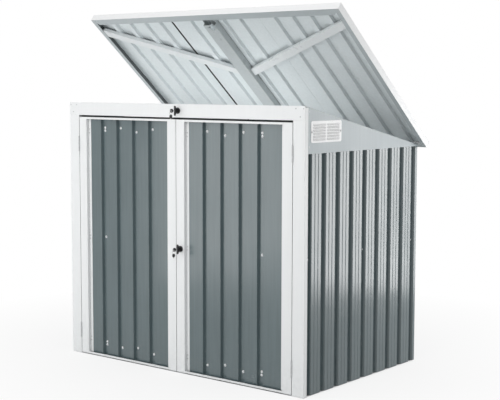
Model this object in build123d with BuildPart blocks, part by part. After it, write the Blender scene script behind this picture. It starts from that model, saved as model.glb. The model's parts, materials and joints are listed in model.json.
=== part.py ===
from build123d import *
import os
from math import atan2, cos, radians, sin

os.makedirs("parts", exist_ok=True)

# Driving dimensions in millimetres
# X runs to the right, Y to the rear and Z up; the origin is on the ground under the middle of the body

# Body and roof line
BODY_WIDTH = 1500.0
BODY_DEPTH = 955.0
HEADER_TOP = 1304.0
REAR_TOP = 1100.0
WALL_DROP = 2.0
WALL_BOTTOM = 3.0
FRAME_STEEL = 1.2
PANEL_STEEL = 0.6

# Corrugated sheet: wide flats, narrow pressed valleys, two pencil grooves on each flat of the walls
WALL_PITCH = 110.0
LID_PITCH = 105.0
VALLEY_MOUTH = 38.0
VALLEY_FLOOR = 26.0
VALLEY_DEPTH = 14.0
PENCIL_WIDTH = 6.0
PENCIL_DEPTH = 1.2
PENCIL_SPACING = 26.0
SHEET_EDGE = 4.0
CORNER_WRAP = 12.0
LAP = 28.0

# Front frame
POST_FACE = 65.5
POST_RETURN = 24.0
JAMB_DEPTH = 32.0
HEADER_FACE = 64.0
HEADER_LEDGE = 22.0
HEADER_SOFFIT = 30.0
SILL_FRONT = 3.0
SILL_DEPTH = 41.0
SILL_UPSTAND = 30.0
FIT_GAP = 0.4

# Inner rails and corner posts, all folded angles
RAIL_LEG = 30.0
BASE_RAIL_HEIGHT = 40.0
REAR_POST_LEG = 34.0
MID_RAIL_HEIGHT = 620.0
ANCHOR_RADIUS = 4.5
ANCHOR_SPACING = 655.0

# Gables and their vents
GABLE_LAP = 6.0
GABLE_FLANGE = 22.0
VENT_FRONT = 44.0
VENT_RISE = 42.0
VENT_LENGTH = 236.0
VENT_HEIGHT = 97.0
VENT_CORNER = 9.0
VENT_MARGIN = 18.0
VENT_ROWS = 6
VENT_RIB = 14.0
LOUVRE_OPENING = 6.0
LOUVRE_HOOD = 4.0

# Doors
MEETING_LINE = -14.0
DOOR_VALLEYS = 4
DOOR_VALLEY_SHIFT = -10.0
DOOR_GAP = 3.0
HINGE_GAP = 3.0
DOOR_BOTTOM = 5.0
DOOR_HEAD_GAP = 10.0
STILE_FACE = 51.0
STILE_RETURN = 15.0
STILE_EDGE = 18.0
STILE_FLANGE = 18.0
DOOR_LIP = 10.0
DOOR_RAIL_SKIRT = 70.0
DOOR_MID_RAIL = 40.0
DOOR_MID_LEDGE = 10.0

# Hinges
DOOR_HINGE_FOOT_INSET = 120.0
DOOR_HINGE_HEAD_INSET = 137.0
DOOR_HINGE_LENGTH = 78.0
DOOR_KNUCKLE_RADIUS = 3.2
DOOR_LEAF_REACH = 20.0
LID_HINGE_PLACE = 550.0
LID_HINGE_LENGTH = 60.0
LID_KNUCKLE_RADIUS = 4.2
LID_LEAF_REACH = 18.0
LID_WALL_LEAF_REACH = 40.0
LID_AXIS_STANDOFF = 4.5
LEAF_STEEL = 1.2
HINGE_PIN_RADIUS = 1.5
PIN_PLAY = 0.05
KNUCKLE_GAP = 0.4

# Lid, shown propped open by LID_OPEN degrees
LID_OPEN = 27.3
LID_SIDE_REACH = 38.0
LID_FRONT_REACH = 16.0
LID_REAR_REACH = 20.0
LID_SEAT = 0.5
RIM_HEIGHT = 36.0
RIM_END_FLANGE = 38.0
RIM_SIDE_FLANGE = 24.0
RIM_CAP = 20.0
LID_PANELS = 3
BEAM_WIDTH = 75.0
BEAM_DEPTH = 34.0
BEAM_REAR_END = 50.0
BRACE_WIDTH = 42.0
BRACE_SIDE_INSET = 14.0
BRACE_FRONT_INSET = 103.0
BRACE_BEAM_INSET = 450.0

# Locks: rosette and barrel, wing knob with cam, key in the lock, ring with spare key
LID_LOCK_DROP = 32.0
DOOR_LOCK_HEIGHT = 609.0
ROSETTE_RADIUS = 15.0
ROSETTE_THICKNESS = 4.0
BARREL_RADIUS = 9.0
SHAFT_RADIUS = 5.0
SHAFT_PLAY = 0.05
SHAFT_SQUARE = 6.4
BARREL_FLAT = 7.0
CLIP_WIDTH = 28.0
CLIP_HEIGHT = 24.0
CLIP_RIM = 4.0
CLIP_STEEL = 1.5
BOSS_LENGTH = 8.0
WING_LENGTH = 46.0
WING_DEPTH = 20.0
WING_ROOT = 16.0
WING_THICKNESS = 5.0
CAM_WIDTH = 10.0
CAM_STEEL = 2.0
CAM_CORNER = 2.0
LID_CAM_DEPTH = 27.0
LID_CAM_REACH = 24.0
DOOR_CAM_REACH = 45.0
KEY_BOW_RADIUS = 9.0
KEY_STEEL = 1.6
KEY_NECK = 10.0
KEY_NECK_WIDTH = 7.0
KEY_HOLE_RADIUS = 3.2
KEY_RIM = 0.8
KEY_BOW_SIDES = 8
RING_RADIUS = 9.0
RING_SIDES = 16
RING_WIRE = 0.6
RING_PLAY = 0.25
SPARE_BOW_RADIUS = 8.0
SPARE_HOLE_RADIUS = 2.2
SPARE_RIM = 1.2
SPARE_BLADE = 6.0
SPARE_BLADE_WIDTH = 5.0
KEEPER_STEEL = 1.5
KEEPER_LENGTH = 36.0
KEEPER_LIP = 14.0
KEEPER_LIP_DEPTH = 9.0
KEEPER_CLEARANCE = 3.0

# Slide bolt of the left door
BOLT_INSET = 25.5
BOLT_WIDTH = 10.0
BOLT_THICKNESS = 6.0
BOLT_PLAY = 0.05
BOLT_SETBACK = 2.0
BOLT_LENGTH = 84.0
BOLT_GUIDE_WIDTH = 24.0
BOLT_GUIDE_HEIGHT = 30.0
BOLT_GUIDE_DEPTH = 14.0
BOLT_GUIDE_DROP = 12.0
BOLT_TAB_HEIGHT = 4.0
BOLT_TAB_REACH = 16.0
BOLT_TAB_PLACE = 18.0

# Derived planes and lines
SIDE = BODY_WIDTH / 2
FRONT = -BODY_DEPTH / 2
REAR = BODY_DEPTH / 2
WALL_FACE = SIDE - FRAME_STEEL
SHEET_FORM = VALLEY_DEPTH + PANEL_STEEL
RAIL_FACE = WALL_FACE - SHEET_FORM
REAR_RAIL_FACE = REAR - SHEET_FORM
JAMB = SIDE - POST_FACE
POST_FRONT = FRONT + FRAME_STEEL
HEADER_BOTTOM = HEADER_TOP - HEADER_FACE
LID_LOCK_HEIGHT = HEADER_TOP - LID_LOCK_DROP
WALL_TOP = REAR_TOP - WALL_DROP
DOOR_TOP = HEADER_BOTTOM - DOOR_HEAD_GAP
DOOR_HINGE_HEIGHTS = (DOOR_BOTTOM + DOOR_HINGE_FOOT_INSET, DOOR_TOP - DOOR_HINGE_HEAD_INSET)
ROOF_SLOPE = (HEADER_TOP - REAR_TOP) / BODY_DEPTH
ROOF_PITCH = atan2(HEADER_TOP - REAR_TOP, BODY_DEPTH)


def roof_at(y):
    """Height of the roof line at a depth."""
    return HEADER_TOP - ROOF_SLOPE * (y - FRONT)


def save(piece, label):
    """Label a finished piece and write it to its own file."""
    piece.part.label = label
    export_step(piece.part, f"parts/{label}.step")


def front_plane(y):
    """Upright plane across the body; its normal points to the front."""
    return Plane.XZ.offset(-y)


def side_plane(x):
    """Upright plane along the body; its normal points to the right."""
    return Plane.YZ.offset(x)


def folded(run, thickness):
    """Outline of sheet metal bent along a run of points, its thickness on the left of the run."""
    points = [Vector(*point) for point in run]
    normals = []
    for start, end in zip(points, points[1:]):
        along = (end - start).normalized()
        normals.append(Vector(-along.Y, along.X))
    inner = [points[0] + normals[0] * thickness]
    for corner, before, after in zip(points[1:-1], normals, normals[1:]):
        inner.append(corner + (before + after) * (thickness / (1 + before.dot(after))))
    inner.append(points[-1] + normals[-1] * thickness)
    return points + inner[::-1]


def bent(run, thickness):
    """Draw bent sheet metal in the sketch that is being built."""
    with BuildLine() as outline:
        Polyline(*folded(run, thickness), close=True)
    make_face(outline.edges())


def centred(count, pitch):
    """Places of a row of valleys, centred on zero."""
    return [(index - (count - 1) / 2) * pitch for index in range(count)]


def corrugation(start, end, valleys, start_lap=0.0, end_lap=0.0, grooved=False):
    """Bends across a corrugated sheet; an edge with a lap steps in under its neighbour."""
    run = [(start, 0.0)]
    if start_lap:
        run = [(start, PANEL_STEEL), (start + start_lap, PANEL_STEEL), (start + start_lap + PANEL_STEEL, 0.0)]
    for index, centre in enumerate(valleys):
        run.append((centre - VALLEY_MOUTH / 2, 0.0))
        run.append((centre - VALLEY_FLOOR / 2, VALLEY_DEPTH))
        run.append((centre + VALLEY_FLOOR / 2, VALLEY_DEPTH))
        run.append((centre + VALLEY_MOUTH / 2, 0.0))
        if grooved and index + 1 < len(valleys):
            crest = (centre + valleys[index + 1]) / 2
            for groove in (crest - PENCIL_SPACING / 2, crest + PENCIL_SPACING / 2):
                run.append((groove - PENCIL_WIDTH / 2, 0.0))
                run.append((groove, PENCIL_DEPTH))
                run.append((groove + PENCIL_WIDTH / 2, 0.0))
    if end_lap:
        run += [(end - end_lap - PANEL_STEEL, 0.0), (end - end_lap, PANEL_STEEL), (end, PANEL_STEEL)]
    else:
        run.append((end, 0.0))
    return run


def barrel_hole():
    """Draw the hole for a lock barrel, with two flats that keep it from turning."""
    Circle(BARREL_RADIUS + FIT_GAP / 2)
    Rectangle(2 * BARREL_FLAT + FIT_GAP, 3 * BARREL_RADIUS, mode=Mode.INTERSECT)


# Front posts: U sections behind the header's face, open to the rear
post_top = roof_at(FRONT + HEADER_LEDGE) - 2 * FRAME_STEEL
with BuildPart() as front_right_post:
    with BuildSketch():
        bent(
            [
                (JAMB, FRONT + JAMB_DEPTH),
                (JAMB, POST_FRONT),
                (SIDE, POST_FRONT),
                (SIDE, POST_FRONT + POST_RETURN),
            ],
            FRAME_STEEL,
        )
    extrude(amount=post_top)
save(front_right_post, "front_right_post")

with BuildPart() as front_left_post:
    mirror(front_right_post.part, about=Plane.YZ)
save(front_left_post, "front_left_post")

# Places of the locks and the slide bolt on the front
DOOR_FACE = POST_FRONT
DOOR_EDGE = JAMB - HINGE_GAP
LEFT_MEETING_EDGE = MEETING_LINE - DOOR_GAP / 2
RIGHT_MEETING_EDGE = MEETING_LINE + DOOR_GAP / 2
DOOR_LOCK_X = RIGHT_MEETING_EDGE + STILE_FACE / 2
BOLT_X = LEFT_MEETING_EDGE - BOLT_INSET
BOLT_Y = DOOR_FACE + FRAME_STEEL + BOLT_GUIDE_DEPTH / 2

# Header: face over the posts, ledge that follows the roof, soffit between the jambs
with BuildPart() as header:
    with BuildSketch(side_plane(-SIDE)):
        bent(
            [
                (FRONT + HEADER_LEDGE, roof_at(FRONT + HEADER_LEDGE)),
                (FRONT, HEADER_TOP),
                (FRONT, HEADER_BOTTOM),
                (FRONT + HEADER_SOFFIT, HEADER_BOTTOM),
            ],
            FRAME_STEEL,
        )
    extrude(amount=BODY_WIDTH)
    with BuildSketch(Plane.XY.offset(HEADER_BOTTOM)):
        for side in (-1, 1):
            with Locations((side * (JAMB - FIT_GAP), POST_FRONT)):
                Rectangle(
                    POST_FACE + FIT_GAP,
                    HEADER_SOFFIT,
                    align=(Align.MAX if side < 0 else Align.MIN, Align.MIN),
                )
    extrude(amount=2 * FRAME_STEEL, mode=Mode.SUBTRACT)
    with BuildSketch(front_plane(FRONT)):
        with Locations((0, LID_LOCK_HEIGHT)):
            barrel_hole()
    extrude(amount=-2 * FRAME_STEEL, mode=Mode.SUBTRACT)
    with BuildSketch(Plane.XY.offset(HEADER_BOTTOM)):
        with Locations((BOLT_X, BOLT_Y)):
            Rectangle(BOLT_WIDTH + 2 * FIT_GAP, BOLT_THICKNESS + 2 * FIT_GAP)
    extrude(amount=2 * FRAME_STEEL, mode=Mode.SUBTRACT)
save(header, "header")

# Sill: flat strip on the ground with an upstand behind the doors
with BuildPart() as front_sill:
    with BuildSketch(side_plane(-JAMB)):
        bent(
            [
                (FRONT + SILL_FRONT, 0),
                (FRONT + SILL_DEPTH, 0),
                (FRONT + SILL_DEPTH, SILL_UPSTAND),
            ],
            FRAME_STEEL,
        )
    extrude(amount=2 * JAMB)
save(front_sill, "front_sill")

# Side walls: one corrugated sheet each, tucked behind the front post and wrapped round the rear corner
side_valleys = centred(round(BODY_DEPTH / WALL_PITCH), WALL_PITCH)
side_run = corrugation(FRONT + SHEET_EDGE, REAR - PANEL_STEEL, side_valleys, grooved=True)
with BuildPart() as right_wall:
    with BuildSketch(Plane((WALL_FACE, 0, WALL_BOTTOM), x_dir=(0, 1, 0), z_dir=(0, 0, 1))):
        bent(side_run + [(REAR - PANEL_STEEL, CORNER_WRAP)], PANEL_STEEL)
    extrude(amount=WALL_TOP - WALL_BOTTOM)
save(right_wall, "right_wall")

with BuildPart() as left_wall:
    mirror(right_wall.part, about=Plane.YZ)
save(left_wall, "left_wall")

# Rear wall: two sheets, lapped on the flat beside the middle one
rear_valleys = centred(2 * round(BODY_WIDTH / WALL_PITCH / 2), WALL_PITCH)
rear_seam = -WALL_PITCH + LAP / 2
rear_plane = Plane((0, REAR, WALL_BOTTOM), x_dir=(-1, 0, 0), z_dir=(0, 0, 1))
right_rear_run = corrugation(
    -WALL_FACE, rear_seam, [place for place in rear_valleys if place < rear_seam], grooved=True
)
left_rear_run = corrugation(
    rear_seam - LAP,
    WALL_FACE,
    [place for place in rear_valleys if place > rear_seam],
    start_lap=LAP + FIT_GAP,
    grooved=True,
)
for label, run in (("rear_right_wall", right_rear_run), ("rear_left_wall", left_rear_run)):
    with BuildPart() as rear_sheet:
        with BuildSketch(rear_plane):
            bent(run, PANEL_STEEL)
        extrude(amount=WALL_TOP - WALL_BOTTOM)
    save(rear_sheet, label)

# Rear corner posts: angles against the valley floors
with BuildPart() as rear_posts:
    with BuildSketch():
        bent(
            [
                (RAIL_FACE, REAR_RAIL_FACE - REAR_POST_LEG),
                (RAIL_FACE, REAR_RAIL_FACE),
                (RAIL_FACE - REAR_POST_LEG, REAR_RAIL_FACE),
            ],
            FRAME_STEEL,
        )
    extrude(amount=WALL_TOP)
    mirror(about=Plane.YZ)
save(rear_posts, "rear_posts")

# Base rails: angles on the ground, drilled for ground anchors
side_rail_rear = REAR_RAIL_FACE - REAR_POST_LEG - FIT_GAP
side_rail_front = POST_FRONT + FRAME_STEEL
side_rail_length = side_rail_rear - side_rail_front
anchor_x = RAIL_FACE - RAIL_LEG / 2
with BuildPart() as right_base_rail:
    with BuildSketch(front_plane(side_rail_rear)):
        bent([(RAIL_FACE - RAIL_LEG, 0), (RAIL_FACE, 0), (RAIL_FACE, BASE_RAIL_HEIGHT)], FRAME_STEEL)
    extrude(amount=side_rail_length)
    with BuildSketch():
        with Locations((anchor_x, -ANCHOR_SPACING / 2), (anchor_x, ANCHOR_SPACING / 2)):
            Circle(ANCHOR_RADIUS)
    extrude(amount=2 * FRAME_STEEL, mode=Mode.SUBTRACT)
save(right_base_rail, "right_base_rail")

with BuildPart() as left_base_rail:
    mirror(right_base_rail.part, about=Plane.YZ)
save(left_base_rail, "left_base_rail")

rear_rail_end = RAIL_FACE - REAR_POST_LEG - FIT_GAP
with BuildPart() as rear_base_rail:
    with BuildSketch(side_plane(-rear_rail_end)):
        bent(
            [(REAR_RAIL_FACE - RAIL_LEG, 0), (REAR_RAIL_FACE, 0), (REAR_RAIL_FACE, BASE_RAIL_HEIGHT)],
            FRAME_STEEL,
        )
    extrude(amount=2 * rear_rail_end)
save(rear_base_rail, "rear_base_rail")


def wall_rails(top):
    """Three angles round the walls at one height, their ledges turned in at the top."""
    with BuildPart() as rails:
        with BuildSketch(front_plane(side_rail_rear)):
            bent([(RAIL_FACE, top - RAIL_LEG), (RAIL_FACE, top), (RAIL_FACE - RAIL_LEG, top)], FRAME_STEEL)
        extrude(amount=side_rail_length)
        mirror(about=Plane.YZ)
        with BuildSketch(side_plane(-rear_rail_end)):
            bent(
                [
                    (REAR_RAIL_FACE, top - RAIL_LEG),
                    (REAR_RAIL_FACE, top),
                    (REAR_RAIL_FACE - RAIL_LEG, top),
                ],
                FRAME_STEEL,
            )
        extrude(amount=2 * rear_rail_end)
    return rails


save(wall_rails(WALL_TOP), "top_rails")
save(wall_rails(MID_RAIL_HEIGHT + RAIL_LEG / 2), "mid_rails")

# Gables: flat panels over the wall tops, with a ledge that follows the roof and a window for the vent
gable_front = POST_FRONT + POST_RETURN + FIT_GAP
gable_bottom = WALL_TOP - GABLE_LAP
roof_thickness = FRAME_STEEL / cos(ROOF_PITCH)
vent_middle = (FRONT + VENT_FRONT + VENT_LENGTH / 2, WALL_TOP + VENT_RISE + VENT_HEIGHT / 2)
with BuildPart() as right_gable:
    with BuildSketch(side_plane(WALL_FACE)):
        with BuildLine():
            Polyline(
                (gable_front, gable_bottom),
                (REAR, gable_bottom),
                (REAR, roof_at(REAR)),
                (gable_front, roof_at(gable_front)),
                close=True,
            )
        make_face()
    extrude(amount=FRAME_STEEL)
    with BuildSketch(side_plane(SIDE - GABLE_FLANGE)):
        with BuildLine():
            Polyline(
                (gable_front, roof_at(gable_front)),
                (gable_front, roof_at(gable_front) - roof_thickness),
                (REAR, roof_at(REAR) - roof_thickness),
                (REAR, roof_at(REAR)),
                close=True,
            )
        make_face()
    extrude(amount=GABLE_FLANGE)
    with BuildSketch(side_plane(SIDE - GABLE_FLANGE)):
        with BuildLine():
            Polyline(
                (gable_front, WALL_TOP + FIT_GAP),
                (gable_front + FRAME_STEEL, WALL_TOP + FIT_GAP),
                (gable_front + FRAME_STEEL, roof_at(gable_front + FRAME_STEEL)),
                (gable_front, roof_at(gable_front)),
                close=True,
            )
        make_face()
    extrude(amount=GABLE_FLANGE)
    with BuildSketch(side_plane(WALL_FACE)):
        with Locations(vent_middle):
            Rectangle(VENT_LENGTH - VENT_MARGIN, VENT_HEIGHT - VENT_MARGIN)
    extrude(amount=FRAME_STEEL, mode=Mode.SUBTRACT)
save(right_gable, "right_gable")

with BuildPart() as left_gable:
    mirror(right_gable.part, about=Plane.YZ)
save(left_gable, "left_gable")

# Vents: plates with two columns of pressed louvres, screwed over the windows
louvre_length = (VENT_LENGTH - 2 * VENT_MARGIN - VENT_RIB) / 2
louvre_pitch = (VENT_HEIGHT - VENT_MARGIN) / VENT_ROWS
louvre_places = [
    (vent_middle[0] + side * (louvre_length + VENT_RIB) / 2, vent_middle[1] + place)
    for side in (-1, 1)
    for place in centred(VENT_ROWS, louvre_pitch)
]
with BuildPart() as gable_vents:
    with BuildSketch(side_plane(SIDE)):
        with Locations(vent_middle):
            RectangleRounded(VENT_LENGTH, VENT_HEIGHT, VENT_CORNER)
        with Locations(louvre_places):
            Rectangle(louvre_length, LOUVRE_OPENING, mode=Mode.SUBTRACT)
    extrude(amount=FRAME_STEEL)
    for place_y, place_z in louvre_places:
        hood_top = place_z + LOUVRE_OPENING / 2
        with BuildSketch(front_plane(place_y + louvre_length / 2)):
            bent(
                [
                    (SIDE + LOUVRE_HOOD, hood_top - LOUVRE_OPENING),
                    (SIDE + FRAME_STEEL, hood_top),
                    (SIDE, hood_top),
                ],
                PANEL_STEEL,
            )
        extrude(amount=louvre_length)
    mirror(about=Plane.YZ)
save(gable_vents, "gable_vents")

# Door leaves between the jambs: stiles, rails and a corrugated sheet
flange_face = DOOR_FACE + STILE_RETURN
sheet_face = flange_face + FRAME_STEEL
sheet_back = sheet_face + SHEET_FORM
door_height = DOOR_TOP - DOOR_BOTTOM


def stile(edge, inward):
    """Stile folded from an outer edge; inward is 1 where the door lies to its right, -1 to its left."""
    inner = edge + inward * STILE_FACE
    hat = [
        (edge, DOOR_FACE + STILE_EDGE),
        (edge, DOOR_FACE),
        (inner, DOOR_FACE),
        (inner, flange_face),
    ]
    whole = hat + [(inner + inward * STILE_FLANGE, flange_face)]
    with BuildPart() as folded_stile:
        with BuildSketch(Plane.XY.offset(DOOR_BOTTOM)):
            bent(hat[::inward], FRAME_STEEL)
        extrude(amount=door_height)
        with BuildSketch(Plane.XY.offset(DOOR_BOTTOM + FRAME_STEEL)):
            bent(whole[::inward], FRAME_STEEL)
        extrude(amount=door_height - 2 * FRAME_STEEL)
    return folded_stile


def door_rail(left, right, edge, upward):
    """Rail folded round the sheet's end: lip in front, skirt behind; upward is 1 at the door's foot."""
    run = [
        (sheet_back + FRAME_STEEL, edge + upward * DOOR_RAIL_SKIRT),
        (sheet_back + FRAME_STEEL, edge),
        (DOOR_FACE, edge),
        (DOOR_FACE, edge + upward * DOOR_LIP),
    ]
    with BuildPart() as rail:
        with BuildSketch(side_plane(left + STILE_FACE)):
            bent(run[::-upward], FRAME_STEEL)
        extrude(amount=right - left - 2 * STILE_FACE)
    return rail


def door_sheet(left, right):
    """Corrugated sheet behind the stiles' flanges, between the rails' webs."""
    middle = (left + right) / 2
    half = (right - left) / 2 - STILE_FACE - FIT_GAP
    valleys = [place + DOOR_VALLEY_SHIFT for place in centred(DOOR_VALLEYS, WALL_PITCH)]
    foot = DOOR_BOTTOM + FRAME_STEEL + FIT_GAP
    with BuildPart() as sheet:
        with BuildSketch(Plane((middle, sheet_face, foot))):
            bent(corrugation(-half, half, valleys), PANEL_STEEL)
        extrude(amount=DOOR_TOP - FRAME_STEEL - FIT_GAP - foot)
    return sheet


def door_mid_rail(left, right):
    """Angle across the back of the sheet at mid height."""
    low = MID_RAIL_HEIGHT - DOOR_MID_RAIL / 2
    with BuildPart() as rail:
        with BuildSketch(side_plane(left + STILE_FACE)):
            bent(
                [(sheet_back, low + DOOR_MID_RAIL), (sheet_back, low), (sheet_back + DOOR_MID_LEDGE, low)],
                FRAME_STEEL,
            )
        extrude(amount=right - left - 2 * STILE_FACE)
    return rail


DOORS = {
    "left": (-DOOR_EDGE, LEFT_MEETING_EDGE),
    "right": (RIGHT_MEETING_EDGE, DOOR_EDGE),
}
left_hinge_stile = stile(-DOOR_EDGE, 1)
save(left_hinge_stile, "left_door_hinge_stile")
left_meeting_stile = stile(LEFT_MEETING_EDGE, -1)
save(left_meeting_stile, "left_door_meeting_stile")
right_hinge_stile = stile(DOOR_EDGE, -1)
save(right_hinge_stile, "right_door_hinge_stile")

with BuildPart() as right_meeting_stile:
    add(stile(RIGHT_MEETING_EDGE, 1).part)
    with BuildSketch(front_plane(DOOR_FACE)):
        with Locations((DOOR_LOCK_X, DOOR_LOCK_HEIGHT)):
            barrel_hole()
    extrude(amount=-2 * FRAME_STEEL, mode=Mode.SUBTRACT)
save(right_meeting_stile, "right_door_meeting_stile")

for hand, (left, right) in DOORS.items():
    save(door_rail(left, right, DOOR_TOP, -1), f"{hand}_door_top_rail")
    save(door_rail(left, right, DOOR_BOTTOM, 1), f"{hand}_door_bottom_rail")
    save(door_mid_rail(left, right), f"{hand}_door_mid_rail")
    save(door_sheet(left, right), f"{hand}_door_sheet")


# Butt hinges
def hinge_leaf(plane, length, inner, outer, reach, radius, pinned):
    """Leaf of a lift-off hinge, along local x and turning about local z, with either the pin or the bore."""
    root = radius + KNUCKLE_GAP
    knuckle = (length - KNUCKLE_GAP) / 2
    foot = 0 if pinned else length - knuckle
    with BuildPart() as leaf:
        with BuildSketch(plane):
            with Locations((root, inner)):
                Rectangle(reach - root, outer - inner, align=Align.MIN)
        extrude(amount=length)
        with BuildSketch(plane.offset(foot)):
            Circle(radius)
            with Locations((0, inner)):
                Rectangle(root, outer - inner, align=Align.MIN)
            if not pinned:
                Circle(HINGE_PIN_RADIUS + PIN_PLAY, mode=Mode.SUBTRACT)
        extrude(amount=knuckle)
        if pinned:
            with BuildSketch(plane.offset(knuckle)):
                Circle(HINGE_PIN_RADIUS)
            extrude(amount=length - knuckle)
    return leaf.part


door_pin_x = DOOR_EDGE + HINGE_GAP / 2
door_pin_y = DOOR_FACE - DOOR_KNUCKLE_RADIUS
leaf_outer = HINGE_GAP / 2
leaf_inner = leaf_outer - LEAF_STEEL
door_hinge_feet = [height - DOOR_HINGE_LENGTH / 2 for height in DOOR_HINGE_HEIGHTS]

with BuildPart() as right_door_hinge_leaves:
    for foot in door_hinge_feet:
        hinge = Plane((door_pin_x, door_pin_y, foot), x_dir=(0, 1, 0), z_dir=(0, 0, 1))
        add(hinge_leaf(hinge, DOOR_HINGE_LENGTH, leaf_inner, leaf_outer, DOOR_LEAF_REACH,
                       DOOR_KNUCKLE_RADIUS, pinned=False))
save(right_door_hinge_leaves, "right_door_hinge_leaves")

with BuildPart() as left_door_hinge_leaves:
    mirror(right_door_hinge_leaves.part, about=Plane.YZ)
save(left_door_hinge_leaves, "left_door_hinge_leaves")

with BuildPart() as frame_hinge_leaves:
    for foot in door_hinge_feet:
        hinge = Plane((door_pin_x, door_pin_y, foot), x_dir=(0, 1, 0), z_dir=(0, 0, 1))
        add(hinge_leaf(hinge, DOOR_HINGE_LENGTH, -leaf_outer, -leaf_inner, DOOR_LEAF_REACH,
                       DOOR_KNUCKLE_RADIUS, pinned=True))
    mirror(about=Plane.YZ)
save(frame_hinge_leaves, "frame_hinge_leaves")

# Lid frame: local x is X, local y runs to the rear along the lid, local z is its upward normal
rim_bottom = LID_AXIS_STANDOFF
lid_axis_y = REAR + LID_AXIS_STANDOFF
axis_drop = rim_bottom - LID_SEAT + LID_AXIS_STANDOFF * sin(ROOF_PITCH)
lid_axis_z = REAR_TOP - axis_drop / cos(ROOF_PITCH)
lid_angle = ROOF_PITCH + radians(LID_OPEN)
lid_plane = Plane((0, lid_axis_y, lid_axis_z), x_dir=(1, 0, 0), z_dir=(0, sin(lid_angle), cos(lid_angle)))
to_front = -lid_plane.y_dir


def when_closed(y, z):
    """Place along and above the lid, in its own frame, of a body point when the lid is shut."""
    back = y - lid_axis_y
    up = z - lid_axis_z
    along = back * cos(ROOF_PITCH) - up * sin(ROOF_PITCH)
    above = back * sin(ROOF_PITCH) + up * cos(ROOF_PITCH)
    return along, above


lid_rear = LID_REAR_REACH
lid_front = when_closed(FRONT, HEADER_TOP)[0] - LID_FRONT_REACH
lid_side = SIDE + LID_SIDE_REACH
lid_depth = lid_rear - lid_front
lid_width = 2 * lid_side
rim_top = rim_bottom + RIM_HEIGHT


def lid_point(x, along, up):
    """Point given in the lid's own frame."""
    return lid_plane.from_local_coords(Vector(x, along, up))


# Lid hinges: a pair whose pins point apart, so that the lid can't slide off them
lid_hinge_start = LID_HINGE_PLACE - LID_HINGE_LENGTH / 2
with BuildPart() as lid_hinge_wall_leaves:
    hinge = Plane((lid_hinge_start, lid_axis_y, lid_axis_z), x_dir=(0, 0, -1), z_dir=(1, 0, 0))
    add(hinge_leaf(hinge, LID_HINGE_LENGTH, -LID_AXIS_STANDOFF, LEAF_STEEL - LID_AXIS_STANDOFF,
                   LID_WALL_LEAF_REACH, LID_KNUCKLE_RADIUS, pinned=True))
    mirror(about=Plane.YZ)
save(lid_hinge_wall_leaves, "lid_hinge_wall_leaves")

with BuildPart() as lid_hinge_leaves:
    hinge = Plane(lid_point(lid_hinge_start, 0, 0), x_dir=lid_plane.y_dir, z_dir=(1, 0, 0))
    add(hinge_leaf(hinge, LID_HINGE_LENGTH, rim_bottom - LEAF_STEEL, rim_bottom,
                   LID_LEAF_REACH, LID_KNUCKLE_RADIUS, pinned=False))
    mirror(about=Plane.YZ)
save(lid_hinge_leaves, "lid_hinge_leaves")

# Lid trims: C sections with mitred corners
rim_floor = rim_bottom + FRAME_STEEL
sheet_top = rim_top - FRAME_STEEL


def mitre(side, along, outward):
    """Plane through a lid corner, square to the line that halves it; its normal points off the end trim."""
    normal = Vector(side, 0, 0) + lid_plane.y_dir * outward
    return Plane(lid_point(side * lid_side, along, 0), z_dir=normal)


def rim_section(edge, inward, flange):
    """Bends of a trim's section: cap, outer face, and the flange underneath."""
    run = [
        (edge + inward * RIM_CAP, rim_top),
        (edge, rim_top),
        (edge, rim_bottom),
        (edge + inward * flange, rim_bottom),
    ]
    return run[::inward]


along_section = Plane(lid_point(-lid_side, 0, 0), x_dir=lid_plane.y_dir, z_dir=(1, 0, 0))
across_section = Plane(lid_point(0, lid_rear, 0), x_dir=(1, 0, 0), z_dir=to_front)

for label, edge, inward in (("lid_front_trim", lid_front, 1), ("lid_rear_trim", lid_rear, -1)):
    with BuildPart() as end_trim:
        with BuildSketch(along_section):
            bent(rim_section(edge, inward, RIM_END_FLANGE), FRAME_STEEL)
        extrude(amount=lid_width)
        split(bisect_by=mitre(1, edge, inward), keep=Keep.BOTTOM)
        split(bisect_by=mitre(-1, edge, inward), keep=Keep.BOTTOM)
    save(end_trim, label)

for label, side in (("lid_left_trim", -1), ("lid_right_trim", 1)):
    with BuildPart() as side_trim:
        with BuildSketch(across_section):
            bent(rim_section(side * lid_side, -side, RIM_SIDE_FLANGE), FRAME_STEEL)
        extrude(amount=lid_depth)
        split(bisect_by=mitre(side, lid_front, 1), keep=Keep.TOP)
        split(bisect_by=mitre(side, lid_rear, -1), keep=Keep.TOP)
    save(side_trim, label)

# Lid sheets: three panels inside the trims, the middle one's edges lapped under its neighbours
sheet_inset = FRAME_STEEL + FIT_GAP
sheet_length = lid_depth - 2 * sheet_inset
sheet_plane = Plane(lid_point(0, lid_rear - sheet_inset, sheet_top), x_dir=(-1, 0, 0), z_dir=to_front)
lid_panel = lid_width / LID_PANELS
panel_ribs = centred(int(lid_panel / LID_PITCH) - 1, LID_PITCH)
seam = lid_panel / 2
outer_edge = lid_side - sheet_inset
side_ribs = [lid_panel + place for place in panel_ribs]
lid_runs = {
    "lid_left_sheet": corrugation(seam - LAP / 2, outer_edge, side_ribs),
    "lid_middle_sheet": corrugation(
        -seam - LAP / 2, seam + LAP / 2, panel_ribs, start_lap=LAP + FIT_GAP, end_lap=LAP + FIT_GAP
    ),
    "lid_right_sheet": corrugation(-outer_edge, LAP / 2 - seam, [-place for place in side_ribs[::-1]]),
}
for label, run in lid_runs.items():
    with BuildPart() as lid_sheet:
        with BuildSketch(sheet_plane):
            bent(run, PANEL_STEEL)
        extrude(amount=sheet_length)
    save(lid_sheet, label)

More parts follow.
